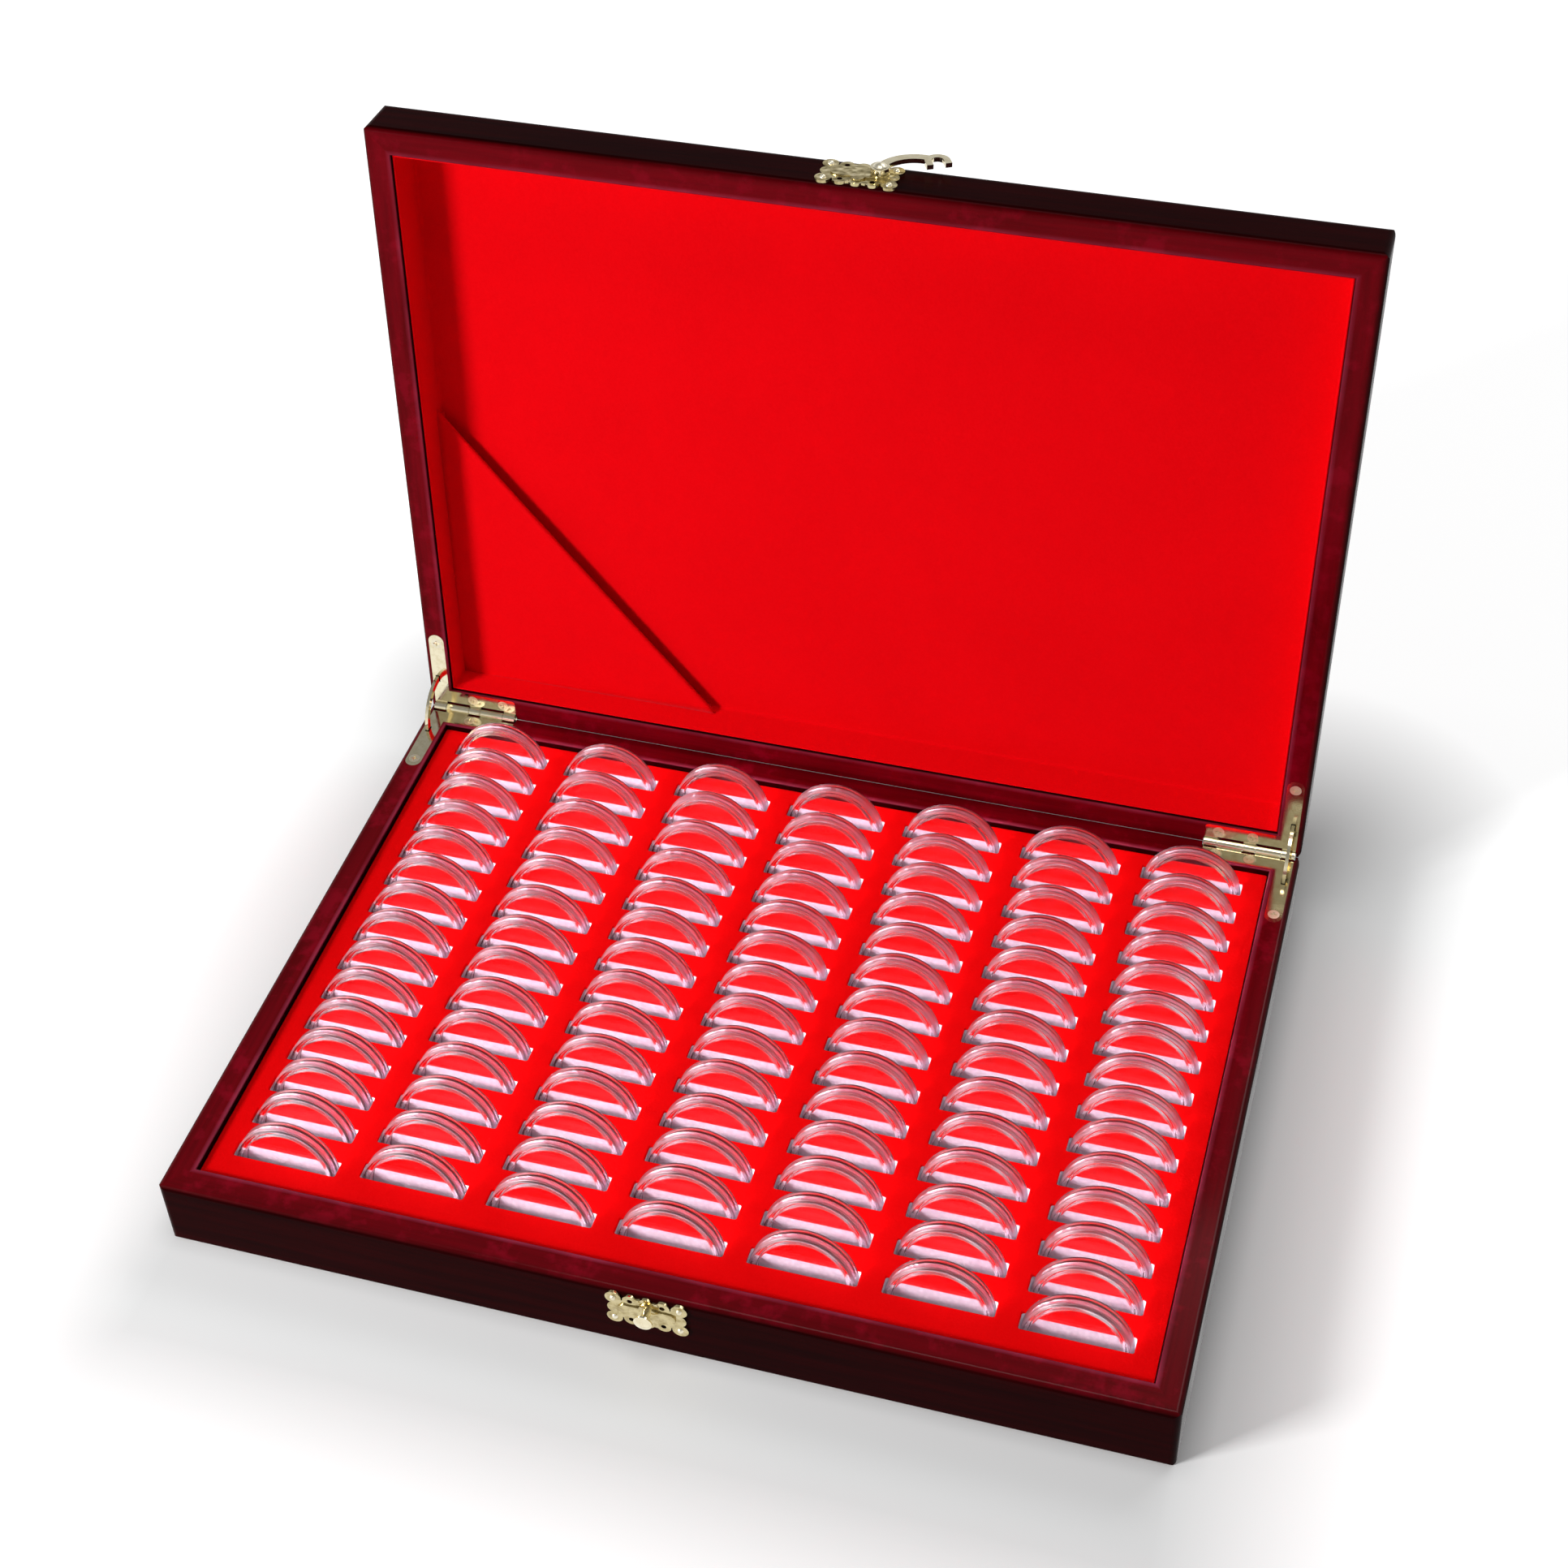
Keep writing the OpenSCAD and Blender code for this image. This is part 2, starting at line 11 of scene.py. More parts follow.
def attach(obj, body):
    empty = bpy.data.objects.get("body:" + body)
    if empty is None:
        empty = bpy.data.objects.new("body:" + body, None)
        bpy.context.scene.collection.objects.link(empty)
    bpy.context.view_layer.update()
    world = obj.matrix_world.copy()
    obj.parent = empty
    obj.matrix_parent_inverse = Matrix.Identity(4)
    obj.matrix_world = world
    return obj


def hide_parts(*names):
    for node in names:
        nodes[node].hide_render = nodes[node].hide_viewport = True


MM = 0.001

# Sizes of the case, in millimetres, as in the part's source
CASE_W, CASE_D = 340.0, 245.0
BASE_H, LID_H = 27.5, 19.5
BASE_WALL, LID_WALL = 10.0, 9.5
BOTTOM_T, TOP_T = 2.4, 2.5
RIM_GAP = 0.3
OPEN_ANGLE = math.radians(94)
LEAN = math.radians(12)
PIN_INSET = 0.5
HINGE_Y, HINGE_Z = CASE_D / 2 - PIN_INSET, BASE_H + RIM_GAP / 2
LID_Z = BASE_H + RIM_GAP
INSERT_DROP, INSERT_PLAY = 2.0, 0.3
INSERT_Z = BASE_H - INSERT_DROP
INSERT_W, INSERT_D = CASE_W - 2 * (BASE_WALL + INSERT_PLAY), CASE_D - 2 * (BASE_WALL + INSERT_PLAY)
SHEET_T = 0.8
SLOT_W, SLOT_T = 36.6, 6.4
COLUMN_PITCH = 44.5
COLUMNS = range(1, 8)
OUTER_COLUMNS, MIDDLE_COLUMN = (1, 7), 4
# Slots in a column, the first one's distance from the case's front, and the last one's from its back
OUTER_ROWS, INNER_ROWS = (15, 23.2, 19.4), (14, 25.3, 20.3)
LINING_T = 0.8
POCKET_W, POCKET_L, POCKET_GAP, POCKET_T = 103.0, 119.0, 3.0, 1.2
SIDES = ("front", "right", "back", "left")
HANDS = ("left", "right")

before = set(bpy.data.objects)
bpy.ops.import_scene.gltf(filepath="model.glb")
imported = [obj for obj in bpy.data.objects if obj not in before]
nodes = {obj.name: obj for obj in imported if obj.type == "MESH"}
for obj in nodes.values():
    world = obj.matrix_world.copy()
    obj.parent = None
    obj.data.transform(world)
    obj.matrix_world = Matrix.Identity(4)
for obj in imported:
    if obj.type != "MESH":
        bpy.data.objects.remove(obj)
bpy.context.view_layer.update()
scene = bpy.context.scene


# Places on the case

def opened(p):
    """A point of the shut lid, in millimetres, where the open lid has it."""
    dy, dz = p[1] - HINGE_Y, p[2] - HINGE_Z
    c, s = math.cos(OPEN_ANGLE), math.sin(OPEN_ANGLE)
    return (p[0], HINGE_Y + dy * c + dz * s, HINGE_Z - dy * s + dz * c)


def lid_way(x, y, z):
    """A way in the shut lid, as the open lid has it."""
    return Vector(opened((x, y, z))) - Vector(opened((0, 0, 0)))


def slots():
    """Middle of each capsule slot on the flocked top, in millimetres."""
    found = []
    for c in COLUMNS:
        rows, from_front, from_back = OUTER_ROWS if c in OUTER_COLUMNS else INNER_ROWS
        front, back = from_front - CASE_D / 2, CASE_D / 2 - from_back
        for r in range(rows):
            found.append(((c - MIDDLE_COLUMN) * COLUMN_PITCH, front + r * (back - front) / (rows - 1)))
    return found


# Materials

# Colours of the lacquer, each with the darker one of its streaks
RIM_WINE, RIM_STREAK = (0.165, 0.0006, 0.0046), (0.090, 0.0003, 0.0020)
SIDE_DARK, SIDE_STREAK = (0.022, 0.0002, 0.0006), (0.009, 0.0001, 0.0003)
PANEL_WINE, PANEL_STREAK = (0.085, 0.0004, 0.0026), (0.045, 0.0002, 0.0012)
# The rims' pale blotches are painted reflections, the pink line along a rim's inner edge is a painted
# highlight, and the darker band along its rounded outer edge is painted shade
PAINTED_REFLECTION_BLOTCH, PAINTED_EDGE_HIGHLIGHT, PAINTED_SHADE_BAND = (0.30, 0.0025, 0.016), (0.42, 0.050, 0.110), (0.05, 0.0, 0.001)
# Metres from a rim's inner edge: where its line of painted highlight starts to fade and has gone, and where
# its band of painted shade along the rounded outer edge starts and is full
HIGHLIGHT_FROM, HIGHLIGHT_TO = 0.0004, 0.0020
BAND_FROM, BAND_TO = 0.0062, 0.0085
# How squarely a rounded edge faces the rim's way where the rim's colour starts and where it is full
TURN_FROM, TURN_TO = 0.45, 0.97
# Foam between its cells and in them; a capsule's flat face, its frosted rim, whose pink is a painted
# reflection of the red flock, and light that has passed it
FOAM_WHITE, FOAM_CELL = (0.80, 0.76, 0.81), (0.66, 0.62, 0.68)
CAPSULE_FACE, CAPSULE_RIM_PAINTED_REFLECTION, CAPSULE_FILM = (0.985, 0.94, 0.96), (0.99, 0.69, 0.84), (0.985, 0.975, 0.985)


def new_group(name, inputs, outputs):
    """An empty shader node group with its sockets; gives the group and its two end nodes."""
    g = bpy.data.node_groups.new(name, "ShaderNodeTree")
    for label, kind, value in inputs:
        s = g.interface.new_socket(label, in_out="INPUT", socket_type=kind)
        s.default_value = value
    for label, kind in outputs:
        g.interface.new_socket(label, in_out="OUTPUT", socket_type=kind)
    return g, g.nodes.new("NodeGroupInput"), g.nodes.new("NodeGroupOutput")


def feed(tree, socket, value):
    """Sets a plain value or colour on a socket, or links another node's output to it."""
    if isinstance(value, (int, float)):
        socket.default_value = value
    elif isinstance(value, tuple):
        socket.default_value = (*value, 1.0)
    else:
        tree.links.new(value, socket)


def noise(tree, where, scale, detail, rough):
    """Cloudy noise; scale is the number of its lumps in a metre."""
    n = tree.nodes.new("ShaderNodeTexNoise")
    for label, value in (("Vector", where), ("Scale", scale), ("Detail", detail), ("Roughness", rough)):
        feed(tree, n.inputs[label], value)
    return n.outputs["Fac"]


def math_node(tree, op, a, b=None, clamp=False):
    """A number worked out from one or two others, which are plain or come from other nodes."""
    n = tree.nodes.new("ShaderNodeMath")
    n.operation, n.use_clamp = op, clamp
    feed(tree, n.inputs[0], a)
    if b is not None:
        feed(tree, n.inputs[1], b)
    return n.outputs[0]


def vector_node(tree, op, a, b=None):
    """A vector worked out from one or two others, or a number where the operation gives one."""
    n = tree.nodes.new("ShaderNodeVectorMath")
    n.operation = op
    tree.links.new(a, n.inputs[0])
    if isinstance(b, bpy.types.NodeSocket):
        tree.links.new(b, n.inputs[1])
    elif b is not None:
        n.inputs[1].default_value = b
    return n.outputs["Value" if op in ("DOT_PRODUCT", "LENGTH") else "Vector"]


def span(tree, value, low, high, to_low, to_high):
    """A value between low and high, spread from to_low to to_high and held there outside them."""
    n = tree.nodes.new("ShaderNodeMapRange")
    for i, v in enumerate((value, low, high, to_low, to_high)):
        feed(tree, n.inputs[i], v)
    return n.outputs[0]


def mix_colour(tree, factor, a, b):
    """Colour a where the factor is 0 and b where it is 1."""
    n = tree.nodes.new("ShaderNodeMix")
    n.data_type = "RGBA"
    for i, v in ((0, factor), (6, a), (7, b)):
        feed(tree, n.inputs[i], v)
    return n.outputs[2]


def mix_shader(tree, factor, a, b):
    """Shader a where the factor is 0 and b where it is 1."""
    n = tree.nodes.new("ShaderNodeMixShader")
    for i, v in enumerate((factor, a, b)):
        tree.links.new(v, n.inputs[i])
    return n.outputs[0]


def bump(tree, height, strength, distance, normal=None):
    """Relief of a depth in metres, over another relief's normal where one is given."""
    n = tree.nodes.new("ShaderNodeBump")
    n.inputs["Strength"].default_value = strength
    n.inputs["Distance"].default_value = distance
    tree.links.new(height, n.inputs["Height"])
    if normal is not None:
        tree.links.new(normal, n.inputs["Normal"])
    return n.outputs["Normal"]


def object_place(tree):
    """Where a point of a surface is in the case at rest, in metres."""
    return tree.nodes.new("ShaderNodeTexCoord").outputs["Object"]


def facing_side(tree, side):
    """How far the surface faces one way of the case at rest: 1 towards it, -1 away from it."""
    return vector_node(tree, "DOT_PRODUCT", tree.nodes.new("ShaderNodeTexCoord").outputs["Normal"], side)


def make_pile():
    """Short pile of flock or felt: a mottled colour, and the height of its nap."""
    g, gin, gout = new_group(
        "pile",
        [("Colour", "NodeSocketColor", (1, 0, 0, 1)), ("Shade", "NodeSocketColor", (0.5, 0, 0, 1)),
         ("Pile size", "NodeSocketFloat", 900.0), ("Mottle", "NodeSocketFloat", 0.35)],
        [("Colour", "NodeSocketColor"), ("Height", "NodeSocketFloat"), ("Roughness", "NodeSocketFloat")])
    where = object_place(g)
    fine = noise(g, where, gin.outputs["Pile size"], detail=4.0, rough=0.7)
    broad = noise(g, where, scale=22.0, detail=3.0, rough=0.5)
    brushed = noise(g, where, scale=130.0, detail=2.0, rough=0.6)
    patch = math_node(g, "MULTIPLY", span(g, broad, 0.35, 0.7, 0.0, 1.0), gin.outputs["Mottle"])
    grainy = math_node(g, "MULTIPLY", span(g, fine, 0.35, 0.65, 0.0, 1.0), gin.outputs["Mottle"])
    both = math_node(g, "ADD", math_node(g, "MULTIPLY", patch, 0.55), math_node(g, "MULTIPLY", grainy, 0.45))
    g.links.new(mix_colour(g, both, gin.outputs["Colour"], gin.outputs["Shade"]), gout.inputs["Colour"])
    height = math_node(g, "ADD", fine, math_node(g, "MULTIPLY", brushed, 0.6))
    g.links.new(height, gout.inputs["Height"])
    g.links.new(span(g, fine, 0.3, 0.7, 0.85, 1.0), gout.inputs["Roughness"])
    return g


def make_grain():
    """Grain and brushed lacquer along one axis: streaks, small unevenness of the lacquer, and blotches that
    place the rims' painted reflections.
    """
    g, gin, gout = new_group(
        "lacquered grain",
        [("Along", "NodeSocketVector", (0.06, 1, 1)), ("Streaks", "NodeSocketFloat", 260.0)],
        [("Streak", "NodeSocketFloat"), ("Blotch", "NodeSocketFloat"), ("Pool", "NodeSocketFloat"),
         ("Height", "NodeSocketFloat")])
    where = object_place(g)
    drawn_out = vector_node(g, "MULTIPLY", where, gin.outputs["Along"])
    streak = noise(g, drawn_out, gin.outputs["Streaks"], detail=5.0, rough=0.6)
    pool = noise(g, where, scale=45.0, detail=2.0, rough=0.5)
    orange_peel = noise(g, where, scale=420.0, detail=1.0, rough=0.4)
    spots = noise(g, where, scale=170.0, detail=3.0, rough=0.6)
    blotch = math_node(g, "MULTIPLY", spots, span(g, pool, 0.3, 0.7, 0.7, 1.2))
    g.links.new(span(g, streak, 0.3, 0.7, 0.0, 1.0), gout.inputs["Streak"])
    g.links.new(span(g, blotch, 0.50, 0.68, 0.0, 0.8), gout.inputs["Blotch"])
    g.links.new(span(g, pool, 0.35, 0.65, 0.0, 1.0), gout.inputs["Pool"])
    height = math_node(g, "ADD", math_node(g, "MULTIPLY", streak, 0.5),
                       math_node(g, "MULTIPLY", orange_peel, 0.5))
    g.links.new(height, gout.inputs["Height"])
    return g


def make_rub():
    """Handling on metal: smudges, and fine scratches."""
    g, gin, gout = new_group(
        "rubbed metal",
        [("Bright", "NodeSocketColor", (1, 1, 1, 1)), ("Dull", "NodeSocketColor", (0.5, 0.5, 0.5, 1)),
         ("Polish", "NodeSocketFloat", 0.2)],
        [("Colour", "NodeSocketColor"), ("Roughness", "NodeSocketFloat"), ("Height", "NodeSocketFloat")])
    where = object_place(g)
    smudge = noise(g, where, scale=330.0, detail=3.0, rough=0.6)
    fine = noise(g, where, scale=2600.0, detail=2.0, rough=0.6)
    share = span(g, smudge, 0.42, 0.7, 0.0, 1.0)
    g.links.new(mix_colour(g, share, gin.outputs["Bright"], gin.outputs["Dull"]), gout.inputs["Colour"])
    rough = math_node(g, "ADD", gin.outputs["Polish"], math_node(g, "MULTIPLY", share, 0.08))
    g.links.new(rough, gout.inputs["Roughness"])
    g.links.new(fine, gout.inputs["Height"])
    return g


PILE, GRAIN, RUB = make_pile(), make_grain(), make_rub()


def new_material(name, **values):
    """A Principled material with plain values on the shader's own sockets."""
    m = bpy.data.materials.new(name)
    m.use_nodes = True
    shader = m.node_tree.nodes["Principled BSDF"]
    for label, value in values.items():
        shader.inputs[label.replace("_", " ")].default_value = value
    return m, m.node_tree, shader


def place_group(tree, group, **values):
    """A shader group in a material, with its own values."""
    n = tree.nodes.new("ShaderNodeGroup")
    n.node_tree = group
    for label, value in values.items():
        n.inputs[label.replace("_", " ")].default_value = value
    return n


def pile_material(name, colour, shade, size, mottle, height):
    """Flock or felt; size is the number of tufts in a metre and height the depth of the nap in metres."""
    m, tree, shader = new_material(
        name, Sheen_Weight=0.15, Sheen_Roughness=0.4, Sheen_Tint=(1.0, 0.1, 0.15, 1), Specular_IOR_Level=0.05)
    n = place_group(tree, PILE, Colour=(*colour, 1), Shade=(*shade, 1), Pile_size=size, Mottle=mottle)
    tree.links.new(n.outputs["Colour"], shader.inputs["Base Color"])
    tree.links.new(n.outputs["Roughness"], shader.inputs["Roughness"])
    tree.links.new(bump(tree, n.outputs["Height"], strength=0.35, distance=height), shader.inputs["Normal"])
    return m


def edge_distance(tree, middle, across, half):
    """How far inside the wood a point of a rim is from the rim's inner edge, in metres."""
    from_middle = vector_node(tree, "SUBTRACT", object_place(tree), middle)
    aside = vector_node(tree, "DOT_PRODUCT", from_middle, across)
    return math_node(tree, "SUBTRACT", math_node(tree, "ABSOLUTE", aside), half)


def lacquer_material(name, along, rim_side, middle, across, half, blotches, edge, coat):
    """Wine lacquer, with nearly black sides and a dark wine panel.

    The wood's grain runs the way in which along is small. The rim faces the way rim_side at rest, and middle
    is the middle of its plane. The way over a wall is across, and half is how many metres that way the rim's
    The shares blotches and edge say how strongly the pale blotches, which are painted reflections, and the
    pink line of painted highlight along the inner edge show, and coat is the gloss of the rim. The darker
    band along the rim's rounded outer edge is painted shade."""
    m, tree, shader = new_material(name, Specular_IOR_Level=0.008, Coat_Roughness=0.18, Coat_IOR=1.5)
    n = place_group(tree, GRAIN, Along=along)
    facing = facing_side(tree, rim_side)
    rim = span(tree, facing, TURN_FROM, TURN_TO, 0.0, 1.0)
    outward = span(tree, facing, -TURN_TO, -TURN_FROM, 1.0, 0.0)
    inside = edge_distance(tree, middle, across, half)
    # A pink line along the rim's inner edge: a painted highlight
    edge_highlight_share = math_node(tree, "MULTIPLY", span(tree, inside, HIGHLIGHT_FROM, HIGHLIGHT_TO, 0.55, 0.0),
                     span(tree, n.outputs["Pool"], 0.0, 1.0, 0.5, 1.2))
    streaked = mix_colour(tree, n.outputs["Streak"], RIM_WINE, RIM_STREAK)
    # Pale blotches on the rim: painted reflections
    wine = mix_colour(tree, math_node(tree, "MULTIPLY", n.outputs["Blotch"], blotches), streaked, PAINTED_REFLECTION_BLOTCH)
    wear_and_highlight = mix_colour(tree, math_node(tree, "MULTIPLY", edge_highlight_share, edge, clamp=True), wine, PAINTED_EDGE_HIGHLIGHT)
    # A darker band along the rim's rounded outer edge: painted shade
    outer = mix_colour(tree, span(tree, inside, BAND_FROM, BAND_TO, 0.0, 0.45), wear_and_highlight, PAINTED_SHADE_BAND)
    dark = mix_colour(tree, n.outputs["Streak"], SIDE_DARK, SIDE_STREAK)
    panel = mix_colour(tree, n.outputs["Streak"], PANEL_WINE, PANEL_STREAK)
    outside = mix_colour(tree, outward, dark, panel)
    tree.links.new(mix_colour(tree, rim, outside, outer), shader.inputs["Base Color"])
    tree.links.new(span(tree, n.outputs["Pool"], 0.0, 1.0, 0.22, 0.27), shader.inputs["Roughness"])
    tree.links.new(math_node(tree, "ADD", span(tree, rim, 0.0, 1.0, 0.004, coat),
                             span(tree, outward, 0.0, 1.0, 0.0, 0.25)), shader.inputs["Coat Weight"])
    tree.links.new(bump(tree, n.outputs["Height"], strength=0.16, distance=0.0002), shader.inputs["Normal"])
    return m


def brass_material(name, bright, dull, polish, relief=0.0):
    """Polished brass; relief is the depth in metres of a stamped pattern of small scrolls."""
    m, tree, shader = new_material(name, Metallic=1.0)
    n = place_group(tree, RUB, Bright=(*bright, 1), Dull=(*dull, 1), Polish=polish)
    tree.links.new(n.outputs["Colour"], shader.inputs["Base Color"])
    tree.links.new(n.outputs["Roughness"], shader.inputs["Roughness"])
    wear_and_highlight = bump(tree, n.outputs["Height"], strength=0.1, distance=0.0001)
    if relief:
        scrolls = tree.nodes.new("ShaderNodeTexVoronoi")
        scrolls.feature = "SMOOTH_F1"
        scrolls.inputs["Scale"].default_value = 420.0
        scrolls.inputs["Smoothness"].default_value = 0.6
        tree.links.new(object_place(tree), scrolls.inputs["Vector"])
        wear_and_highlight = bump(tree, scrolls.outputs["Distance"], strength=0.8, distance=relief, normal=wear_and_highlight)
    tree.links.new(wear_and_highlight, shader.inputs["Normal"])
    return m


def foam_material():
    """White foam with small closed cells."""
    m, tree, shader = new_material("white foam", Specular_IOR_Level=0.2, Roughness=0.9)
    cells = tree.nodes.new("ShaderNodeTexVoronoi")
    cells.inputs["Scale"].default_value = 700.0
    tree.links.new(object_place(tree), cells.inputs["Vector"])
    share = span(tree, cells.outputs["Distance"], 0.0, 0.7, 0.0, 1.0)
    tree.links.new(mix_colour(tree, share, FOAM_WHITE, FOAM_CELL), shader.inputs["Base Color"])
    pitted = bump(tree, cells.outputs["Distance"], strength=0.4, distance=0.0003)
    tree.links.new(pitted, shader.inputs["Normal"])
    return m


def capsule_material():
    """Clear moulded plastic, frosted round its rim, whose pink tint is a painted reflection of the red flock.
    The lamps' rays pass it, so the flock under it is lit.
    """
    m, tree, shader = new_material("clear capsule plastic", Transmission_Weight=1.0, IOR=1.49)
    flat = math_node(tree, "ABSOLUTE", facing_side(tree, CAPSULE_AXIS))
    rim = span(tree, flat, 0.5, 0.95, 1.0, 0.0)
    # The frosted rim is tinted pink: a painted reflection of the red flock round it
    tree.links.new(mix_colour(tree, rim, CAPSULE_FACE, CAPSULE_RIM_PAINTED_REFLECTION), shader.inputs["Base Color"])
    tree.links.new(span(tree, rim, 0.0, 1.0, 0.02, 0.34), shader.inputs["Roughness"])
    film = tree.nodes.new("ShaderNodeBsdfTransparent")
    film.inputs["Color"].default_value = (*CAPSULE_FILM, 1)
    path = tree.nodes.new("ShaderNodeLightPath")
    either = mix_shader(tree, path.outputs["Is Shadow Ray"], shader.outputs[0], film.outputs[0])
    tree.links.new(either, tree.nodes["Material Output"].inputs["Surface"])
    return m


CAPSULE_AXIS = (0, -math.cos(LEAN), -math.sin(LEAN))
FLOCK = pile_material("red flock", (0.86, 0.0, 0.001), (0.64, 0.0, 0.0),
                      size=1400.0, mottle=0.35, height=0.0004)
FELT = pile_material("red felt", (0.80, 0.0, 0.003), (0.60, 0.0, 0.002),
                     size=1000.0, mottle=0.3, height=0.0004)
FOAM = foam_material()
CLEAR = capsule_material()
BRASS = brass_material("pale brass", (0.92, 0.84, 0.61), (0.79, 0.69, 0.46), polish=0.06)
# The clasp plates' brass is darker than the rest: a painted dark reflection, standing for the dark
# surroundings it would reflect
BRASS_PLATE_PAINTED_DARK = brass_material("stamped brass plate with painted dark reflection", (0.66, 0.56, 0.31), (0.36, 0.28, 0.12),
                             polish=0.12, relief=0.0005)
BRASS_SCREW = brass_material("brass screws and nails", (0.92, 0.86, 0.68), (0.80, 0.72, 0.52), polish=0.30)
ALONG_X, ALONG_Y, ALONG_Z = (0.05, 1, 1), (1, 0.05, 1), (1, 1, 0.05)
UP, LID_RIM_WAY = (0, 0, 1), lid_way(0, 0, -1)
ACROSS_W, ACROSS_D, ACROSS_LID_D = (1, 0, 0), (0, 1, 0), lid_way(0, 1, 0)
BASE_MIDDLE, LID_MIDDLE = (0, 0, BASE_H * MM), tuple(v * MM for v in opened((0, 0, LID_Z)))
BASE_LACQUER = {
    name: lacquer_material(f"lacquer of the base {name}", along, UP, BASE_MIDDLE, across,
                           (size / 2 - BASE_WALL) * MM, blotches=0.55, edge=1.0, coat=0.2)
    for name, along, across, size in (("front and back", ALONG_X, ACROSS_D, CASE_D),
                                      ("sides", ALONG_Y, ACROSS_W, CASE_W))}
LID_LACQUER = {
    name: lacquer_material(f"lacquer of the lid {name}", along, LID_RIM_WAY, LID_MIDDLE, across,
                           (size / 2 - LID_WALL) * MM, blotches=0.35, edge=0.5, coat=0.06)
    for name, along, across, size in (("front and back", ALONG_X, ACROSS_LID_D, CASE_D),
                                      ("sides", ALONG_Z, ACROSS_W, CASE_W))}


def finish_node(name, material):
    """Gives a CAD node its material."""
    o = nodes[name]
    o.data.materials.clear()
    o.data.materials.append(material)


# Mesh tools

def add_piece(name, points, faces, material, body, replaces, smooth=True):
    """A mesh from points in millimetres; rides on a body and stands for the CAD nodes it replaces."""
    mesh = bpy.data.meshes.new(name)
    mesh.from_pydata([tuple(c * MM for c in p) for p in points], [], faces)
    tidy = bmesh.new()
    tidy.from_mesh(mesh)
    bmesh.ops.recalc_face_normals(tidy, faces=tidy.faces)
    tidy.to_mesh(mesh)
    tidy.free()
    mesh.materials.append(material)
    if smooth:
        mesh.shade_smooth()
    o = bpy.data.objects.new(name, mesh)
    scene.collection.objects.link(o)
    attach(o, body)
    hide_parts(*replaces)
    return o


def rounded_rectangle(w, d, r):
    """Points round a rectangle with round corners, anticlockwise, about the origin."""
    points, steps = [], 3
    for k, (sx, sy) in enumerate(((1, 1), (-1, 1), (-1, -1), (1, -1))):
        for i in range(steps + 1):
            a = math.pi / 2 * (k + i / steps)
            points.append((sx * (w / 2 - r) + r * math.cos(a), sy * (d / 2 - r) + r * math.sin(a)))
    return points


# Slotted sheets: the round corners of the sheet and its slots, the spacing of the points between the slots,
# and how far these stay from the sheet's edges and from a slot
SHEET_CORNER, SLOT_CORNER = 0.6, 0.8
POINT_STEP, FIRST_POINT, LAST_POINT = 6.5, 5, 3
CLEAR_OF_SLOT = (1.2, 1.4)
# Lengths of the slow waves over a sheet and over the lid's felt, in millimetres per radian
SHEET_WAVES, FELT_WAVES = (23, 31, 27), (19, 26)


